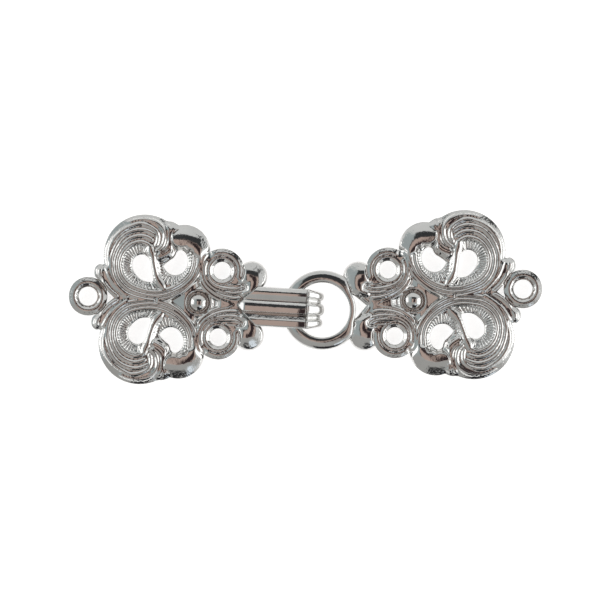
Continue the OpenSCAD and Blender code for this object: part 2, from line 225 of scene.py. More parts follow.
SCROLL_MID = [(1.1, 7.0), (0.75, 6.1), (0.7, 5.0), (1.0, 3.9), (1.65, 3.05), (2.6, 2.4), (3.7, 2.05),
              (5, 1.85), (6.4, 1.95), (7.4, 2.35), (7.95, 3.1), (7.85, 3.8)]
SCROLL_IN = [(1.15, 4.9), (1.4, 4.2), (1.9, 3.5), (2.6, 2.95), (3.5, 2.62), (4.7, 2.5), (6, 2.55),
             (6.9, 2.85), (7.3, 3.35)]
TIP_LINE = [(4.3, 3.15), (5.4, 3.1), (6.4, 3.15), (6.95, 3.35)]
FRONT_LINE = [(7.0, 0.1), (7.9, 0.95), (8.7, 1.75), (9.2, 2.5)]

DIVIDER = [(-8.2, 8.45, 0.4), (-8.05, 7.9, 0.65), (-7.75, 7.1, 0.55), (-7.6, 6.4, 0.38),
           (-7.4, 5.5, 0.34), (-7.2, 4.7, 0.34), (-6.95, 3.9, 0.42), (-6.55, 3.1, 0.6),
           (-6.05, 2.45, 0.55), (-5.6, 1.95, 0.2)]
SIDE_DOME = [(-4.5, 9.3, 2.6), (-3.6, 9.4, 2.8), (-2.7, 9.4, 2.9), (-1.7, 9.15, 2.7), (-0.95, 8.6, 2.2),
             (-0.4, 7.9, 1.1), (-0.15, 7.1, 0.5), (-0.25, 6.3, 0.35), (-0.45, 5.6, 0.25)]
KNOB_DOME = [(7.9, 4.6, 2.2), (8.4, 4.25, 2.3), (8.6, 3.6, 1.9), (8.45, 2.85, 1.2), (7.95, 2.25, 0.7),
             (7.2, 1.85, 0.4)]

BACK_OPENING = [(-9.6, 7.15), (-8.6, 6.9), (-8.0, 6.1), (-7.75, 5), (-7.5, 3.9), (-7.45, 3.0),
                (-8.5, 2.9), (-9.5, 3.25), (-10.4, 4.1), (-10.85, 4.9), (-10.95, 5.7), (-10.6, 6.6)]
SIDE_OPENING = [(-5.85, 5.6), (-5, 6.45), (-4.4, 6.9), (-4.1, 7.4), (-3.95, 7.85), (-3.6, 8.15),
                (-3.1, 8.2), (-2.55, 7.85), (-2.15, 7.2), (-2.02, 6.5), (-2.15, 5.7), (-2.5, 5),
                (-3, 4.5), (-3.6, 4.25), (-4.3, 4.2), (-5, 4.45), (-5.55, 4.95)]

LEAF_EDGE = [(-16.15, 2.66), (-16.75, 3.3), (-16.95, 4.0), (-16.75, 4.75), (-16.2, 5.25), (-15.7, 5.2)]
GAP_EDGE = [(-14.78, 1.05), (-14.3, 0.7), (-13.5, 0.0)]
NECK_EDGE = [(-5.5, 12.75), (-4.9, 12.7), (-4.35, 12.5)]
FRONT_EDGE = [(9.85, 2.85), (10.0, 2.4), (9.75, 2.05), (9.3, 1.75), (8.55, 1.05), (7.5, 0.0)]


# The share of its length that is kept of the lobe's outermost line
OUTER_LINE = 0.62


def smooth_lines():
    """Every raised line of the upper half as its path and the height of its crest."""
    lobe = spline(LOBE_LINE)
    wide = [lobe[:, :2], parallel(lobe, 1), share(parallel(lobe, 2), 0, OUTER_LINE)]
    wide += [spline(t) for t in (CURL_IN, CURL_OUT, STAR_EDGE)]
    fine = [spline(t) for t in (NECK_BACK, NECK_FRONT, BRIDGE_OUT, BRIDGE_IN, DOME_EDGE, LEAF_IN, SCROLL_OUT,
                                SCROLL_MID, SCROLL_IN)]
    low = [spline(t) for t in (SCROLL_EDGE, TIP_LINE, FRONT_LINE)]
    tops = (LINE_TOP, LINE_TOP - 0.06, LINE_TOP - 0.15)
    return [(path, top) for paths, top in zip((wide, fine, low), tops) for path in paths]


# Outline of one scroll plate

def mirrored(path):
    return path * np.array([1.0, -1.0])


def plate_loops():
    """Closed loops: the outline first, then every hole."""
    notch = meet(SIDE_AT, SIDE_R, SMALL_AT, SMALL_R)
    waist = meet(SMALL_AT, SMALL_R, KNOB_AT, KNOB_R)
    leaf, gap = np.array(LEAF_EDGE), np.array(GAP_EDGE)
    neck, front = np.array(NECK_EDGE), np.array(FRONT_EDGE)
    parts = [
        arc(LOOP_AT, LOOP_OUT, 180, bearing(LOOP_AT, leaf[0])),
        spline(leaf, EDGE_STEP),
        arc(LOBE_AT, LOBE_R, bearing(LOBE_AT, leaf[-1]) + 360, 62),
        spline(neck, EDGE_STEP),
        arc(SIDE_AT, SIDE_R, 105, bearing(SIDE_AT, notch)),
        arc(SMALL_AT, SMALL_R, bearing(SMALL_AT, notch), bearing(SMALL_AT, waist)),
        arc(KNOB_AT, KNOB_R, bearing(KNOB_AT, waist), bearing(KNOB_AT, front[0])),
        resample(front, EDGE_STEP)]
    upper = tidy_path(np.vstack(parts))
    outline = np.vstack([upper, mirrored(upper)[-2:0:-1]])
    edge = np.vstack([arc(LOOP_AT, LOOP_OUT, 0, bearing(LOOP_AT, gap[0])), resample(gap, EDGE_STEP)])
    edge = tidy_path(edge)
    gap_loop = np.vstack([edge, mirrored(edge)[-2:0:-1]])
    round_hole = arc(LOOP_AT, LOOP_R, 0, 360)[:-1]
    sew = arc(SMALL_AT, SEW_R, 0, 360)[:-1]
    back, side = closed_spline(BACK_OPENING), closed_spline(SIDE_OPENING)
    holes = [gap_loop, round_hole]
    for loop in (sew, back, side):
        holes += [loop, mirrored(loop)]
    return [outline] + holes


def tidy_path(path):
    """The path without points that lie closer together than half a step."""
    keep = [0]
    for i in range(1, len(path)):
        if np.hypot(*(path[i] - path[keep[-1]])) > EDGE_STEP / 2:
            keep.append(i)
    keep[-1] = len(path) - 1
    return path[keep]


# Height of the relief over the flat back

# Ground between the lines, the swell of the beads in the lobe's grooves and their distance apart
VALLEY, BEADING, BEAD_STEP = 2.12, 0.01, 0.5
# Ground under the knob and round the bead
KNOB_GROUND, BEAD_GROUND = 1.4, 1.5
# Rise of the fuller rim outside the lobe's lines
LOBE_RIM = 0.15
# Sunk field west and east of the bead: height at a place, slope along x, that place, least and greatest
# height
WEST_FIELD = (1.2, 0.29, -5.2, 1.5, 2.08)
EAST_FIELD = (1.3, 0.52, 1.9, 1.3, 2.2)
# Curve of the bead, of its skirt, and slope of the ridge round it
BEAD_CURVE, SKIRT_CURVE, COLLAR_SLOPE = 0.36, 8, 0.8

# Height at the outline, and the slope of the rounded outer edges by the distance from it
EDGE_LOW = 1.62
EDGE_SLOPES = [(0, 0.9), (0.08, 0.55), (0.18, 0.44), (0.7, 0.44), (1.0, 0.36), (1.7, 0.3), (6, 0.2)]
# Slope outwards by the distance from the hole's middle, and the height where each table starts: round
# the end loop, round a sewing hole, and on the rim of its scroll
LOOP_SLOPES = [(1.5, 1.1), (1.9, 0.9), (2.1, 0.45), (2.25, 0.05), (2.4, -0.3), (2.52, -0.43),
               (3.02, -0.45), (3.1, -0.9)]
EYE_SLOPES = [(1.4, 0.95), (1.85, 0.8), (2.1, 0), (2.25, -0.9), (2.4, -0.6), (2.5, -0.6)]
RIM_SLOPES = [(2.45, 0.9), (2.65, 0.6), (2.8, 0), (2.9, -0.3), (3.02, -0.43), (3.47, -0.45), (3.55, -0.9)]
LOOP_LOW, EYE_LOW, RIM_LOW = 1.1, 1.72, 2.05


def beside(points, path, reach):
    """Which points lie within reach of a path, their distance from it and place along it, and heights
    for all the points that start endlessly low."""
    d, along = nearest(points, path, reach)
    near = np.isfinite(d)
    return near, np.abs(d[near]), along[near], np.full(len(points), -np.inf)


def climb(at, slopes):
    """Height gained from the first row's place onwards, by rows of place and slope."""
    place, slope = np.array(slopes, float).T
    fine = np.linspace(place[0], place[-1], 400)
    steep = np.interp(fine, place, slope)
    gain = np.concatenate([[0], np.cumsum((steep[1:] + steep[:-1]) / 2 * np.diff(fine))])
    return np.interp(at, fine, gain)


# A ridge's flank, how far its crest is rounded, where its steeper foot begins and how much steeper that is
RIDGE_SLOPE, CREST, FOOT, FOOT_SLOPE = 0.85, 0.08, 0.32, 2


def raised_line(points, path, top):
    """Height of a ridge with straight flanks, a slightly rounded crest and a steeper foot. It falls by
    up to half a millimetre towards its ends."""
    near, off, along, out = beside(points, path, 1.2)
    left = np.minimum(along, len(path) - 1 - along) * LINE_STEP
    fall = RIDGE_SLOPE * (np.hypot(off, CREST) - CREST) + FOOT_SLOPE * np.clip(off - FOOT, 0, None)
    out[near] = top - fall - 0.5 * (1 - ramp((left + 0.25) / 0.8))
    return out


# A dome's steepest slope by its half width, and the share of its half width up to which it is rounded
DOME_HALVES, DOME_SLOPES = (0.6, 1.2, 2.4), (0.85, 0.4, 0.5)
DOME_ROUND = 0.6


def dome(points, table, top, edge):
    """Height of a dome along a crest of x, y, half width. Its slope grows from the crest and then stays,
    and it turns down at the outline."""
    path = spline(table)
    near, off, along, out = beside(points, path, 3.5)
    half = np.interp(along, np.arange(len(path)), path[:, 2])
    t = off / half
    steepest = np.interp(half, DOME_HALVES, DOME_SLOPES)
    fall = steepest * np.where(t < DOME_ROUND, 0.316 * (t / DOME_ROUND) ** 1.9, t - 0.284)
    out[near] = top - 0.25 * ramp((1 - half) / 0.8) - half * fall
    return out - 0.3 * np.clip(1 - edge / 0.3, 0, 1) ** 2


def divider(points):
    """Height of the swelling rib between the two openings."""
    path = spline(DIVIDER)
    near, off, along, out = beside(points, path, 1.5)
    half = np.interp(along, np.arange(len(path)), path[:, 2])
    t = off / half
    fall = half * np.where(t < 1, 0.45 * t ** 2, 0.9 * t - 0.45)
    out[near] = VALLEY + 0.3 * ramp(0.4 + half / 0.6) - fall
    return out


# Walls round the openings: slope, depth of the grooves between pads and drop at the edge
WALL_SLOPE, PAD_DEPTH, LIP = 0.3, 0.36, 0.25
# Centre of the pads, their first and last bearing and their number
BACK_FAN = ((-9.4, 5.2), 62, 318, 29)
SIDE_FAN = ((-3.95, 6.1), 172, 412, 24)
BACK_WALL, SIDE_WALL = 1.8, 1.25


def wall_to(points, table, fan, width, u):
    """How far the wall round an opening lies under the relief: it falls towards the opening and is
    grooved between pads. It ends before the lobe's first line, which is u away, negative inside."""
    d, _ = nearest(points, closed_spline(table), width + 0.3, closed=True)
    d = np.abs(d)
    centre, first, last, count = fan
    turn = bearing_of(points, centre)
    turn = np.where(turn < first - 30, turn + 360, turn)
    step = (last - first) / count
    inside = ramp((turn - first) / step) * ramp((last - turn) / step)
    pad = np.abs(np.sin(math.pi * (turn - first) / step)) ** 0.55
    along_pad = ramp((d - 0.04) / 0.25) * ramp((-u - 0.3) / 0.25)
    fall = WALL_SLOPE * np.clip(np.minimum(width - d, -u - 0.25), 0, None)
    fall = fall + LIP * (1 - np.clip(d / 0.4, 0, 1)) ** 2
    return np.where(np.isfinite(d), fall + PAD_DEPTH * (1 - pad) * inside * along_pad, 0)


def field(x, height, slope, place, least, most):
    return np.clip(height + slope * (x - place), least, most)


def relief(points, edge):
    """Height of the relief at points of the upper half; edge is the distance to the outline."""
    x, y = points[:, 0], points[:, 1]
    lobe = spline(LOBE_LINE)
    u, along = nearest(points, lobe, FAR)
    u = -u
    run = along * LINE_STEP
    pitch = np.interp(along, np.arange(len(lobe)), lobe[:, 2])
    star, scroll = (-nearest(points, spline(edge_of), FAR)[0] for edge_of in (STAR_EDGE, SCROLL_EDGE))
    level = np.full(len(points), VALLEY)

    # hollow grooves between the lines of the lobe, finely beaded, and a fuller rim outside them
    groove = np.abs(u / pitch - np.floor(u / pitch) - 0.5)
    in_lobe = (u > 0) & (u < 3 * pitch) & (x < 0.5) & (along > 0.5) & (along < len(lobe) - 1.5)
    beads = BEADING * np.cos(2 * math.pi * run / BEAD_STEP) * ramp((0.35 - groove) / 0.2)
    level = np.where(in_lobe, VALLEY + 0.04 + 0.35 * groove ** 2 + beads, level)
    lobe_rim = (u > 3 * pitch) & (np.hypot(x - LOBE_AT[0], y - LOBE_AT[1]) < LOBE_R)
    level = np.where(lobe_rim, VALLEY + LOBE_RIM * ramp((u / pitch - 3) / 0.5), level)

    # sunk field round the bead, rising away from it
    in_star = (star > 0) & (scroll > 0) & (x < 5.6)
    east_share = ramp((x + 1.2) / 2.4)
    sunk = field(x, *WEST_FIELD) * (1 - east_share) + field(x, *EAST_FIELD) * east_share
    level = np.where(in_star, sunk, level)

    # low ground under the knob
    knob = np.hypot(x - KNOB_AT[0], y - KNOB_AT[1])
    level = np.where((knob < KNOB_R + 0.1) & (x > 6.2), np.minimum(level, KNOB_GROUND), level)

    # walls round the openings, and the gentle fall to the outline
    inner = np.where(along > 0.5, u, -DEEP)
    level = level - wall_to(points, BACK_OPENING, BACK_FAN, BACK_WALL, inner)
    level = level - wall_to(points, SIDE_OPENING, SIDE_FAN, SIDE_WALL, inner)
    rim = EDGE_LOW + climb(edge, EDGE_SLOPES)
    level = np.minimum(level, rim)

    # raised lines, which stay low beside the outline, domes and the rib between the openings; the side
    # dome falls away inside the lobe's first line and behind its own edge line
    height = level
    line_rim = rim + 0.2 * ramp((edge - 0.25) / 0.5)
    for path, top in smooth_lines():
        height = soft_max(height, np.minimum(raised_line(points, path, top), line_rim), 0.03)
    side, _ = nearest(points, spline(DOME_EDGE), FAR)
    swell = dome(points, SIDE_DOME, DOME_TOP, edge) - 1.3 * ramp(-u / 0.3) * np.clip(8.6 - y, 0, None)
    swell = swell - 2.5 * np.clip(-side, 0, 1) * ramp((-2.2 - x) / 0.6)
    height = np.maximum(height, swell)
    height = np.maximum(height, dome(points, KNOB_DOME, DOME_TOP, edge))
    height = np.maximum(height, divider(points))

    # small scroll: bevel and ridge round the sewing hole, then the smooth rim
    r = np.hypot(x - SMALL_AT[0], y - SMALL_AT[1])
    eye = EYE_LOW + climb(r, EYE_SLOPES)
    height = np.where(r < 2.1, eye, np.where(r < 2.55, np.maximum(height * (r > 2.4), eye), height))
    turn = bearing_of(points, SMALL_AT)
    upper = ramp((turn + 30) / 20) * ramp((138 - turn) / 20)
    tube = RIM_LOW + climb(r, RIM_SLOPES)
    height = np.where((r > 2.45) & (r < 3.56), height + (tube - height) * upper, height)

    # bead and the ridge round it
    r = np.hypot(x, y)
    bead = BOSS_H - BEAD_CURVE * r ** 2 - SKIRT_CURVE * np.clip(r - BOSS_R + 0.15, 0, None) ** 2
    collar = COLLAR_H - COLLAR_SLOPE * np.sqrt((r - COLLAR_R) ** 2 + 0.004)
    height = np.where(r < BOSS_R, np.maximum(bead, BEAD_GROUND), height)
    collar = np.maximum(collar, np.where(r < COLLAR_R, BEAD_GROUND, height))
    height = np.where((r >= BOSS_R) & (r < 2.7), collar, height)

    # end loop
    r = np.hypot(x - LOOP_AT[0], y)
    return np.where(r < LOOP_OUT + 0.02, LOOP_LOW + climb(r, LOOP_SLOPES), height)


def bearing_of(points, centre):
    return np.degrees(np.arctan2(points[:, 1] - centre[1], points[:, 0] - centre[0]))


# Meshes

def inside_of(points, loops):
    """Whether each point is inside the first loop and outside the others (even and odd crossings)."""
    odd = np.zeros(len(points), bool)
    for loop in loops:
        a, b = loop, np.roll(loop, -1, axis=0)
        low, high = loop.min(0), loop.max(0)
        near = np.flatnonzero((points[:, 0] < high[0]) & (points[:, 1] > low[1]) & (points[:, 1] < high[1]))
        for some in np.array_split(near, len(near) // BATCH + 1):
            px, py = points[some, 0, None], points[some, 1, None]
            crosses = (a[:, 1] > py) != (b[:, 1] > py)
            with np.errstate(divide="ignore", invalid="ignore"):
                at = a[:, 0] + (py - a[:, 1]) / (b[:, 1] - a[:, 1]) * (b[:, 0] - a[:, 0])
            odd[some] ^= (crosses & (px < at)).sum(1) % 2 == 1
    return odd


def thin_out(groups, closest):
    """Points of all groups, earlier groups first, none closer than that to one kept before."""
    grid, kept = {}, []
    for points in groups:
        cells = np.floor(points / closest).astype(int)
        for (x, y), (i, j) in zip(points.tolist(), cells.tolist()):
            clear = True
            for di in (-1, 0, 1):
                for dj in (-1, 0, 1):
                    for ox, oy in grid.get((i + di, j + dj), ()):
                        if (ox - x) ** 2 + (oy - y) ** 2 < closest * closest:
                            clear = False
            if clear:
                grid.setdefault((i, j), []).append((x, y))
                kept.append((x, y))
    return np.array(kept)


def edge_distance(points, loops, reach=3.0):
    """Distance to the nearest edge of the outline and to the nearest edge of any loop."""
    outer = np.abs(nearest(points, loops[0], reach, closed=True)[0])
    every = outer.copy()
    for loop in loops[1:]:
        every = np.minimum(every, np.abs(nearest(points, loop, reach, closed=True)[0]))
    return outer, every


# Distances from an edge and from a raised line at which the relief is sampled
INSETS = (0.07, 0.16, 0.28, 0.42, 0.58, 0.78)
BESIDE_LINE = (0, -0.09, 0.09, -0.2, 0.2, -0.35, 0.35)
# Rows of points to a pitch between the lobe's lines, and rays of points to a pad
PITCH_ROWS, PAD_RAYS = 7, 4
# Circles on which it is sampled: centre, radii
CIRCLES = [
    (SMALL_AT, (1.6, 1.85, 2.0, 2.1, 2.25, 2.4, 2.5, 2.65, 2.8, 3.0, 3.3)),
    ((0, 0), (0.001, 0.35, 0.7, 1.0, 1.25, 1.4, 1.46, 1.75, 2.05, 2.4)),
    (LOOP_AT, (1.7, 1.9, 2.1, 2.25, 2.45, 2.7, 2.9))]


def plate_points(loops):
    """Where the relief is sampled: along its lines, along its edges and in between, on the upper half."""
    groups = []
    for loop in loops:
        n = normals(loop, closed=True)
        for inset in INSETS:
            for side in (-1, 1):
                groups.append(loop + n * inset * side)
    groups += [parallel(spline(LOBE_LINE), k / PITCH_ROWS) for k in range(-2, 3 * PITCH_ROWS + 1)]
    for path, _ in smooth_lines():
        n = normals(path)
        groups += [path[:, :2] + n * k for k in BESIDE_LINE]
    for table in (DIVIDER, SIDE_DOME, KNOB_DOME):
        path = spline(table)
        n = normals(path)
        groups += [path[:, :2] + n * k * np.minimum(path[:, 2:3], 0.5) for k in (0, -0.5, 0.5, -1, 1)]
    for (centre, first, last, count), longest in ((BACK_FAN, 4.2), (SIDE_FAN, 3.4)):
        for k in range(PAD_RAYS * count + 1):
            a = math.radians(first + k * (last - first) / count / PAD_RAYS)
            r = np.arange(1.85 if k % 2 else 1.2, longest, 0.13)
            ray = np.column_stack([centre[0] + r * math.cos(a), centre[1] + r * math.sin(a)])
            off_lobe = nearest(ray, spline(LOBE_LINE), FAR)[0]
            groups.append(ray[np.isfinite(off_lobe) & (off_lobe > 0.1)])
    for centre, radii in CIRCLES:
        groups += [arc(centre, r, 0, 360) for r in radii]
    low, high = loops[0].min(0), loops[0].max(0)
    rows = np.arange(0, high[1], FILL_STEP * math.sqrt(3) / 2)
    fill = []
    for k, yy in enumerate(rows):
        xs = np.arange(low[0], high[0], FILL_STEP) + (k % 2) * FILL_STEP / 2
        fill.append(np.column_stack([xs, np.full(len(xs), yy)]))
    groups.append(np.vstack(fill))
    upper = []
    for g in groups:
        g = g[g[:, 1] > -1e-9]
        near_axis = np.abs(g[:, 1]) < CLOSEST / 2
        g[near_axis, 1] = 0
        g = g[inside_of(g, loops)]
        if len(g):
            upper.append(g[edge_distance(g, loops, 0.1)[1] > EDGE_CLEAR])
    edges = [loop[loop[:, 1] > -0.1] for loop in loops]
    kept = thin_out(edges + upper, CLOSEST)[len(thin_out(edges, CLOSEST)):]
    below = mirrored(kept[kept[:, 1] > CLOSEST / 2])
    return np.vstack([kept, below])


def triangulate(loops, inner):
    """Triangles over the loops and inner points. Returns the points, the triangles, and the loops as
    rows of point numbers."""
    coords = [Vector(p) for loop in loops for p in loop] + [Vector(p) for p in inner]
    edges, start = [], 0
    for loop in loops:
        n = len(loop)
        edges += [(start + i, start + (i + 1) % n) for i in range(n)]
        start += n
    out = delaunay_2d_cdt(coords, edges, [], 0, 1e-7)
    points = np.array([tuple(v) for v in out[0]])
    triangles = np.array(out[2])
    number = {}
    for k, sources in enumerate(out[3]):
        for s in sources:
            number[s] = k
    numbered, start = [], 0
    for loop in loops:
        numbered.append(np.array([number[start + i] for i in range(len(loop))]))
        start += len(loop)
    centres = points[triangles].mean(1)
    triangles = triangles[inside_of(centres, loops)]
    a, b, c = (points[triangles[:, k]] for k in range(3))
    turn = (b[:, 0] - a[:, 0]) * (c[:, 1] - a[:, 1]) - (b[:, 1] - a[:, 1]) * (c[:, 0] - a[:, 0])
    triangles[turn < 0] = triangles[turn < 0][:, ::-1]
    return points, triangles, numbered


def settled(height, triangles):
    """Heights drawn twice halfway to the mean of their neighbours, which softens creases."""
    a = np.concatenate([triangles[:, k] for k in (0, 1, 2, 1, 2, 0)])
    b = np.concatenate([triangles[:, k] for k in (1, 2, 0, 0, 1, 2)])
    count = np.bincount(a, minlength=len(height))
    for _ in range(2):
        mean = np.bincount(a, weights=height[b], minlength=len(height)) / count
        height = (height + mean) / 2
    return height


# Levels of the walls' steps, as shares of the relief's height
WALL_LEVELS = (0.45, 0.0)


def plate_mesh():
    """Vertices and faces of one scroll plate."""
    loops = plate_loops()
    points, top, rims = triangulate(loops, plate_points(loops))
    folded = np.column_stack([points[:, 0], np.abs(points[:, 1])])
    outer, _ = edge_distance(folded, loops)
    height = settled(relief(folded, outer), top)
    vertices = [np.column_stack([points, height])]
    count = len(points)
    faces = [tuple(t) for t in top.tolist()]

    # walls down to the flat back, in two steps
    feet = []
    for rim, loop in zip(rims, loops):
        area = (loop[:, 0] * np.roll(loop[:, 1], -1) - np.roll(loop[:, 0], -1) * loop[:, 1]).sum()
        ring = rim if (area > 0) == (loop is loops[0]) else rim[::-1]
        above, n = ring, len(ring)
        for level in WALL_LEVELS:
            vertices.append(np.column_stack([points[ring], height[ring] * level]))
            below = np.arange(count, count + n)
            count += n
            faces += [(above[i], below[i], below[(i + 1) % n], above[(i + 1) % n]) for i in range(n)]
            above = below
        feet.append((ring, above))

    # flat back
    low, high = loops[0].min(0), loops[0].max(0)
    gx, gy = np.meshgrid(*(np.arange(low[k], high[k], BACK_STEP) for k in (0, 1)))
    grid = np.column_stack([gx.ravel(), gy.ravel()])
    grid = grid[inside_of(grid, loops)]
    grid = grid[edge_distance(grid, loops, 0.5)[1] > 0.35]
    flat, back, back_rims = triangulate(loops, grid)
    number = np.full(len(flat), -1)
    for (ring, foot), back_rim, rim in zip(feet, back_rims, rims):
        by_top = dict(zip(ring.tolist(), foot.tolist()))
        for b, t in zip(back_rim.tolist(), rim.tolist()):
            number[b] = by_top[t]
    free = np.flatnonzero(number < 0)
    number[free] = np.arange(count, count + len(free))
    vertices.append(np.column_stack([flat[free], np.zeros(len(free))]))
    faces += [tuple(int(number[k]) for k in t[::-1]) for t in back.tolist()]
    return np.vstack(vertices), [tuple(int(k) for k in f) for f in faces]


def swept(sections, closed):
    """Vertices and faces of a skin over sections of as many points each."""
    m, n = len(sections), len(sections[0])
    faces = [(i * n + j, i * n + (j + 1) % n, ((i + 1) % m) * n + (j + 1) % n, ((i + 1) % m) * n + j)
             for i in range(m if closed else m - 1) for j in range(n)]
    if not closed:
        faces += [tuple(range(n - 1, -1, -1)), tuple(range((m - 1) * n, m * n))]
    return np.vstack(sections), faces


# Slope of the ribbed top across the arm, from its far edge to its near one: y, fall towards +y
RIB_SLOPES = [(3.15, 1.8), (3.05, 0.95), (2.6, 0.51), (2.3, 0.2), (2.0, -0.11), (1.95, -0.27), (1.15, -0.34),
              (1.08, 0), (1.05, 2.5), (0.85, 1.2), (0.6, 0.5), (0.5, 0.41), (0.05, 0.2), (-0.8, -0.2),
              (-0.84, -2), (-0.98, -5), (-1.02, -1), (-1.06, 0.35), (-1.3, 0.4), (-1.85, 0.41), (-1.92, 0.7),
              (-1.98, 0.7), (-2.06, 0.2), (-2.9, -0.2), (-3.0, -0.5), (-3.1, -1.5), (-3.15, -2.5)]


def rib_heights():
    """Height of the ribbed top over its highest crest, every 0.005 mm of y."""
    table = np.array(RIB_SLOPES)[::-1]
    y = np.linspace(table[0, 0], table[-1, 0], 1261)
    slope = np.interp(y, table[:, 0], table[:, 1])
    high = np.concatenate([[0], np.cumsum(-(slope[1:] + slope[:-1]) / 2 * np.diff(y))])
    return y, high - high.max()


RIB_Y, RIB_Z = rib_heights()
# The bulges at the bend, on both sides of the middle: height as a share of the ribs', middle, half width
BULGES = [(1, 0, 1.12), (0.35, 1.4, 0.3), (0.78, 2.4, 0.74)]


def rib_profile(y, rounded):
    """Height of the ribs over the arm's flat as a share of their height; y is in millimetres.
    On the arm they are bands, and on the bend they are rounded bulges."""
    flat = 1 + np.interp(y, RIB_Y, RIB_Z) / RIB_H
    bulge = np.maximum.reduce([
        high * np.sqrt(np.clip(1 - np.abs((np.abs(y) - middle) / half) ** 2.4, 0, 1))
        for high, middle, half in BULGES])
    return flat * (1 - rounded) + bulge * rounded


# How the arm grows out of the plate: x, underside, half width share, top over the flat, rib share
ROOT = [(6.2, 0.58, 0.03, -1.3, 0.5), (7.3, 0.58, 0.42, -0.68, 0.9), (9.3, 0.58, 1, -0.54, 1),
        (9.8, 1.16, 1, -0.5, 1), (11.2, ARM_UNDER, 1, -0.38, 1), (15.6, ARM_UNDER, 1, 0, 1),
        (16.0, ARM_UNDER, 1, 0.01, 1), (16.4, ARM_UNDER, 1, 0, 1), (16.8, ARM_UNDER, 1, -0.04, 1),
        (17.2, ARM_UNDER, 1, -0.1, 1)]
# How the cushions start: place before the bend, how far they are rounded, how much they are lowered and
# the share of their bulge
CUSHION = [(0.335, 0, 0.11, 1), (0.3, 0.5, 0.36, 0.8), (0.24, 1, 0.14, 0.62), (0.17, 1, 0.03, 0.84),
           (0.08, 1, 0.01, 0.97)]
# Their fall round the bend: angle in degrees, how much they are lowered
CUSHION_FALL = [(0, 0.04), (4, 0.1), (8, 0.2), (25, 0.42), (45, 0.42), (60, 0.32), (80, 0.08), (95, 0),
                (180, 0)]
# How the tongue ends: distance from its tip, half width share and thickness share
TONGUE_TIP = [(0.72, 1, 1), (0.45, 0.93, 0.97), (0.22, 0.75, 0.86), (0.06, 0.58, 0.68), (0.0, 0.45, 0.5)]
# Places across the arm at every station, as shares of its half width, and the stations' steps in
# millimetres along the arm and in degrees round the bend
ACROSS = np.linspace(-1, 1, 127)
ARM_STEP, BEND_STEP = 0.2, 5
# How far in the arm's free edges are rounded, and its least thickness
ARM_EDGE, THINNEST = 0.3, 0.05


def arm_section(x, z, lean, half, thick, rib, rounded):
    """One station of the hook, from its underside over the ribs. x and z are its underside, lean is how
    far its top leans forwards in degrees, thick is without the ribs and rib is their height."""
    up = (-math.sin(math.radians(lean)), math.cos(math.radians(lean)))
    y = ACROSS * half
    rib_y = ACROSS * HOOK_W / 2 if rounded else y
    narrow = min(1, (HOOK_W / 2 - half) / ARM_EDGE) if not rounded else 0
    edge = 0.5 * narrow * np.clip(1 - (half - np.abs(y)) / ARM_EDGE, 0, 1) ** 2
    high = np.maximum(thick + rib * rib_profile(rib_y, rounded) - edge, THINNEST)
    topside = np.column_stack([x + up[0] * high, y, z + up[1] * high])
    under = np.array([[x, half * side, z] for side in (0.96, 0.5, 0, -0.5, -0.96)])
    return np.vstack([under, topside])


def hook_mesh():
    """The ribbed arm, its bend and the tongue that returns under the ring."""
    half, back = HOOK_W / 2, TONGUE_W / 2
    sections = []
    root = np.array(ROOT)
    for x in np.arange(ROOT[0][0], ROOT[-1][0] + 0.01, ARM_STEP):
        z, wide, over, rib = (np.interp(x, root[:, 0], root[:, k]) for k in (1, 2, 3, 4))
        sections.append(arm_section(x, z, 0, wide * half, ARM_FLAT + over - z, RIB_H * rib, 0))
    for before, rounded, low, rib in CUSHION:
        sections.append(arm_section(BEND_X - before, ARM_UNDER, 0, half, HOOK_T - low, RIB_H * rib, rounded))
    fall = np.array(CUSHION_FALL)
    for a in np.arange(0, 181, BEND_STEP):
        # the ribs fade out on the underside of the bend
        t = a / 180
        rib = RIB_H * min(1, max(0, 2.5 - 3 * t))
        r = math.radians(a)
        low = np.interp(a, fall[:, 0], fall[:, 1])
        sections.append(arm_section(
            BEND_X + BEND_R * math.sin(r), TONGUE_T + BEND_R + BEND_R * math.cos(r), -a,
            half + (back - half) * t, HOOK_T + (TONGUE_T - HOOK_T) * t - low, rib, 1))
    tip = BEND_X - TONGUE_L
    for x in np.linspace(BEND_X - 0.5, tip + 1.0, 8):
        sections.append(arm_section(x, TONGUE_T, -180, back, TONGUE_T, 0, 1))
    for off, wide, thick in TONGUE_TIP:
        sections.append(arm_section(tip + off, TONGUE_T, -180, back * wide, TONGUE_T * thick, 0, 1))
    return swept(sections, closed=False)


# Section of the ring's wire: outward share, height share
WIRE = [(0.0, 0.78), (0.0, 0.35), (0.1, 0.06), (0.3, 0.0), (0.7, 0.0), (0.9, 0.08), (1.0, 0.25),
        (1.0, 0.57), (0.94, 0.687), (0.85, 0.78), (0.69, 0.88), (0.52, 0.945), (0.36, 0.997),
        (0.31, 0.997), (0.18, 0.955), (0.06, 0.905)]
# The wire is thin within the first angle of the plate's axis and full from the second on
THIN = (24, 50)
# Steps round the wire in millimetres and round the ring in degrees
WIRE_STEP, RING_STEP = 0.075, 2.5


def ring_mesh():
    """The round ring. Where its wire is thin, its top is flatter, so that its slopes stay the same."""
    section = closed_spline(WIRE, WIRE_STEP)
    sections = []
    for a in np.arange(0, 360, RING_STEP):
        full = float(ramp((abs(180 - a) - THIN[0]) / (THIN[1] - THIN[0])))
        w = RING_ROOT + (RING_WIRE - RING_ROOT) * full
        r = RING_R + section[:, 0] * w
        high = np.where(section[:, 1] > 0.5, 1 - (1 - section[:, 1]) * w / RING_WIRE, section[:, 1])
        t = math.radians(a)
        sections.append(np.column_stack([EYE_CENTRE + r * math.cos(t), r * math.sin(t),
                                         RING_Z + high * RING_H]))
    return swept(sections, closed=True)


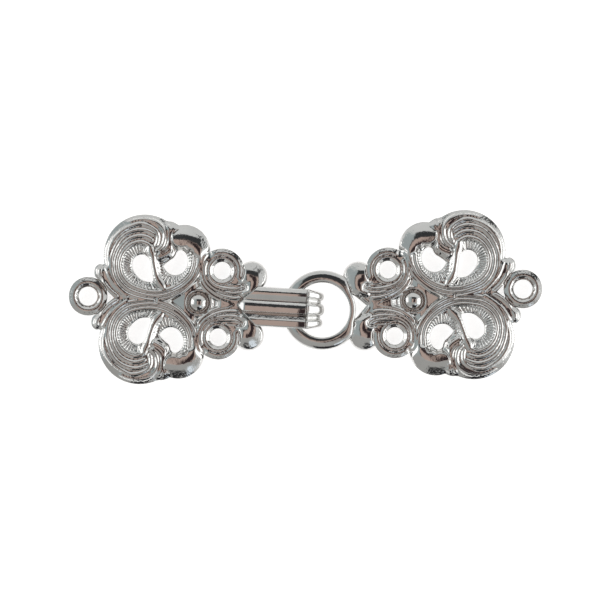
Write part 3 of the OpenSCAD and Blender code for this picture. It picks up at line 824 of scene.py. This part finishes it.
def in_scene(name, data):
    """A new object of the scene with this data."""
    made = bpy.data.objects.new(name, data)
    bpy.context.scene.collection.objects.link(made)
    return made


def to_object(name, vertices, faces):
    mesh = bpy.data.meshes.new(name)
    mesh.from_pydata(vertices.tolist(), [], faces)
    mesh.validate()
    return in_scene(name, mesh)


def outwards(vertices, faces):
    """The faces turned so that the closed mesh has a positive volume."""
    volume = 0.0
    for f in faces:
        a = vertices[f[0]]
        for k in range(1, len(f) - 1):
            volume += np.dot(a, np.cross(vertices[f[k]], vertices[f[k + 1]]))
    return faces if volume > 0 else [f[::-1] for f in faces]


def fused(name, plate, extra):
    """The plate and what is cast onto it as one closed mesh."""
    body = to_object(name, *plate)
    tool = to_object(name + "_tool", extra[0], outwards(*extra))
    union = body.modifiers.new("union", "BOOLEAN")
    union.operation = "UNION"
    union.solver = "MANIFOLD"
    union.object = tool
    evaluated = body.evaluated_get(bpy.context.evaluated_depsgraph_get())
    joined = bpy.data.meshes.new_from_object(evaluated)
    body.modifiers.clear()
    body.data = joined
    bpy.data.objects.remove(tool)
    return body


def finish_piece(piece, place, body, node):
    """Sets a piece in its place, in metres, hides the model's part that it stands for and says what it moves
    with.
    """
    piece.data.transform(place)
    piece.data.transform(Matrix.Scale(MM, 4))
    piece.data.shade_smooth()
    piece.data.materials.clear()
    piece.data.materials.append(metal)
    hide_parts(node)
    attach(piece, body)


# Materials

def node_tree(name):
    material = bpy.data.materials.new(name)
    material.use_nodes = True
    return material, material.node_tree.nodes, material.node_tree.links


# The metal's two tones by place on the noise, its least and greatest roughness, and its pores' depth
TONES = [(0.3, (0.63, 0.625, 0.61)), (0.7, (0.70, 0.695, 0.68))]
ROUGHNESS = (0.05, 0.14)
PORE_DEPTH = 0.00005


def polished_metal():
    """Bright plating over a casting, a little uneven in tone and gloss, with fine pores."""
    material, nodes, links = node_tree("silver_metal")
    shader = nodes["Principled BSDF"]
    shader.inputs["Metallic"].default_value = 1.0
    shader.inputs["Specular Tint"].default_value = (0.5, 0.5, 0.5, 1)

    def node(kind, **values):
        made = nodes.new("ShaderNode" + kind)
        for socket, value in values.items():
            made.inputs[socket.replace("_", " ")].default_value = value
        return made

    place = node("TexCoord")
    pores = node("TexNoise", Scale=1800, Detail=3)
    cloud = node("TexNoise", Scale=260, Detail=4)
    for texture in (pores, cloud):
        links.new(place.outputs["Object"], texture.inputs["Vector"])
    tone = node("ValToRGB")
    for element, (position, colour) in zip(tone.color_ramp.elements, TONES):
        element.position, element.color = position, (*colour, 1)
    links.new(cloud.outputs["Fac"], tone.inputs["Fac"])
    links.new(tone.outputs["Color"], shader.inputs["Base Color"])
    rough = node("MapRange", To_Min=ROUGHNESS[0], To_Max=ROUGHNESS[1])
    links.new(cloud.outputs["Fac"], rough.inputs["Value"])
    links.new(rough.outputs["Result"], shader.inputs["Roughness"])
    bump = node("Bump", Strength=0.35, Distance=PORE_DEPTH)
    links.new(pores.outputs["Fac"], bump.inputs["Height"])
    links.new(bump.outputs["Normal"], shader.inputs["Normal"])
    return material


def plain(name, colour, glow):
    """A matt colour that shines by itself a little."""
    material, nodes, _ = node_tree(name)
    shader = nodes["Principled BSDF"]
    shader.inputs["Base Color"].default_value = (*colour, 1)
    shader.inputs["Roughness"].default_value = 0.9
    shader.inputs["Specular IOR Level"].default_value = 0.1
    shader.inputs["Emission Color"].default_value = (*colour, 1)
    shader.inputs["Emission Strength"].default_value = glow
    return material


# The object

metal = polished_metal()
plate = plate_mesh()
hook_piece = fused("hook_half_cast", plate, hook_mesh())
finish_piece(hook_piece, Matrix.Identity(4), "hook_half", "hook_half")
eye_piece = fused("eye_half_cast", plate, ring_mesh())
half_turn = Matrix.Rotation(math.pi + math.radians(EYE_YAW), 4, "Z")
eye_place = Matrix.Translation((RING_CENTRE, 0, 0)) @ half_turn @ Matrix.Translation((-EYE_CENTRE, 0, 0))
finish_piece(eye_piece, eye_place, "eye_half", "eye_half")

# Floor, lights and camera

def softbox(name, centre, size, glow):
    """A rectangular light that faces the clasp; glow is its brightness in reflections."""
    data = bpy.data.lights.new(name, "AREA")
    data.shape = "RECTANGLE"
    data.size, data.size_y = size
    data.energy = glow * math.pi * size[0] * size[1]
    lamp = in_scene(name, data)
    lamp.location = centre
    lamp.rotation_euler = (-Vector(centre)).to_track_quat("-Z", "Y").to_euler()


# What the studio shows to a surface, by the surface's slope: middle and half size of a patch along x
# and y, softness of its edge, colour. Later patches lie over earlier ones
ROOM = (0.76, 0.77, 0.77)
PATCHES = [
    (-0.33, 0.05, 0.16, 0.35, 0.05, (0.42, 0.47, 0.48)),
    (-0.15, -0.48, 0.55, 0.25, 0.05, (0.44, 0.44, 0.43)),
    (0.17, -0.7, 0.27, 0.22, 0.03, (0.03, 0.03, 0.033)),
    (0.28, -0.45, 0.08, 0.07, 0.04, (1.0, 1.1, 1.2)),
    (0.08, 0.1, 0.28, 0.31, 0.02, (0.045, 0.047, 0.05)),
    (0.09, -0.03, 0.25, 0.21, 0.02, (0.55, 0.43, 0.38)),
    (0.12, -0.03, 0.11, 0.2, 0.03, (0.04, 0.028, 0.03)),
]


# Sockets of a colour mix: what lies below, what lies over it, and the result
BELOW, OVER, MIXED = 6, 7, 2


def studio():
    """A world with the patches. A surface seen from straight above mirrors the direction whose x and y,
    over one plus z, are the surface's slope."""
    world = bpy.data.worlds.new("studio")
    bpy.context.scene.world = world
    world.use_nodes = True
    nodes, links = world.node_tree.nodes, world.node_tree.links

    def math_node(operation, first, second):
        node = nodes.new("ShaderNodeMath")
        node.operation = operation
        for socket, value in zip(node.inputs, (first, second)):
            if isinstance(value, (int, float)):
                socket.default_value = value
            else:
                links.new(value, socket)
        return node.outputs["Value"]

    split = nodes.new("ShaderNodeSeparateXYZ")
    links.new(nodes.new("ShaderNodeTexCoord").outputs["Generated"], split.inputs["Vector"])
    one_plus_z = math_node("MAXIMUM", math_node("ADD", split.outputs["Z"], 1.0), 0.01)
    slopes = [math_node("DIVIDE", split.outputs[axis], one_plus_z) for axis in "XY"]
    below = None
    for x, y, half_x, half_y, soft, colour in PATCHES:
        inside = []
        for slope, middle_at, half in zip(slopes, (x, y), (half_x, half_y)):
            edge = nodes.new("ShaderNodeMapRange")
            edge.interpolation_type = "SMOOTHSTEP"
            edge.inputs["From Min"].default_value = half + soft
            edge.inputs["From Max"].default_value = half - soft
            off = math_node("ABSOLUTE", math_node("SUBTRACT", slope, middle_at), 0.0)
            links.new(off, edge.inputs["Value"])
            inside.append(edge.outputs["Result"])
        mix = nodes.new("ShaderNodeMix")
        mix.data_type = "RGBA"
        links.new(math_node("MULTIPLY", *inside), mix.inputs["Factor"])
        if below is None:
            mix.inputs[BELOW].default_value = (*ROOM, 1)
        else:
            links.new(below, mix.inputs[BELOW])
        mix.inputs[OVER].default_value = (*colour, 1)
        below = mix.outputs[MIXED]
    links.new(below, nodes["Background"].inputs["Color"])


# The floor lies a hair under the flat backs, so that the two don't coincide
UNDER = -0.02 * MM
HALF_FLOOR = 3
CORNERS = [(-1, -1), (1, -1), (1, 1), (-1, 1)]
floor_mesh = bpy.data.meshes.new("floor")
floor_mesh.from_pydata([(x * HALF_FLOOR, y * HALF_FLOOR, UNDER) for x, y in CORNERS], [], [(0, 1, 2, 3)])
floor = in_scene("floor", floor_mesh)
floor_mesh.materials.append(plain("floor", (0.9, 0.9, 0.9), 0.8))

studio()
softbox("light_left", (-0.94, 0.05, 0.34), (0.75, 0.42), 1.05)
softbox("light_right", (0.94, -0.05, 0.34), (1.0, 0.46), 1.15)

camera_data = bpy.data.cameras.new("camera")
camera = in_scene("camera", camera_data)
bpy.context.scene.camera = camera
# The photo is 608 pixels wide at 0.16 mm a pixel, the hook half's boss is at this pixel, and its
# axis slopes down to the right by this angle
PHOTO_SIDE, PIXEL, BOSS_PIXEL, ROLL = 608, 0.16 * MM, (198.2, 302.7), 3.4
# Height of the camera, and that of the level at which the scale is the photo's
CAMERA_HIGH, SCALE_HIGH = 0.9, 2 * MM
roll = math.radians(ROLL)
off_x = (PHOTO_SIDE / 2 - BOSS_PIXEL[0]) * PIXEL
off_y = -(PHOTO_SIDE / 2 - BOSS_PIXEL[1]) * PIXEL
middle = (off_x * math.cos(roll) - off_y * math.sin(roll), off_x * math.sin(roll) + off_y * math.cos(roll))
camera.location = (middle[0], middle[1], CAMERA_HIGH)
camera.rotation_euler = (0, 0, roll)
camera_data.sensor_width = 36
camera_data.lens = camera_data.sensor_width * (CAMERA_HIGH - SCALE_HIGH) / (PHOTO_SIDE * PIXEL)
camera_data.clip_start = 0.01

bpy.context.scene.view_settings.view_transform = "Standard"
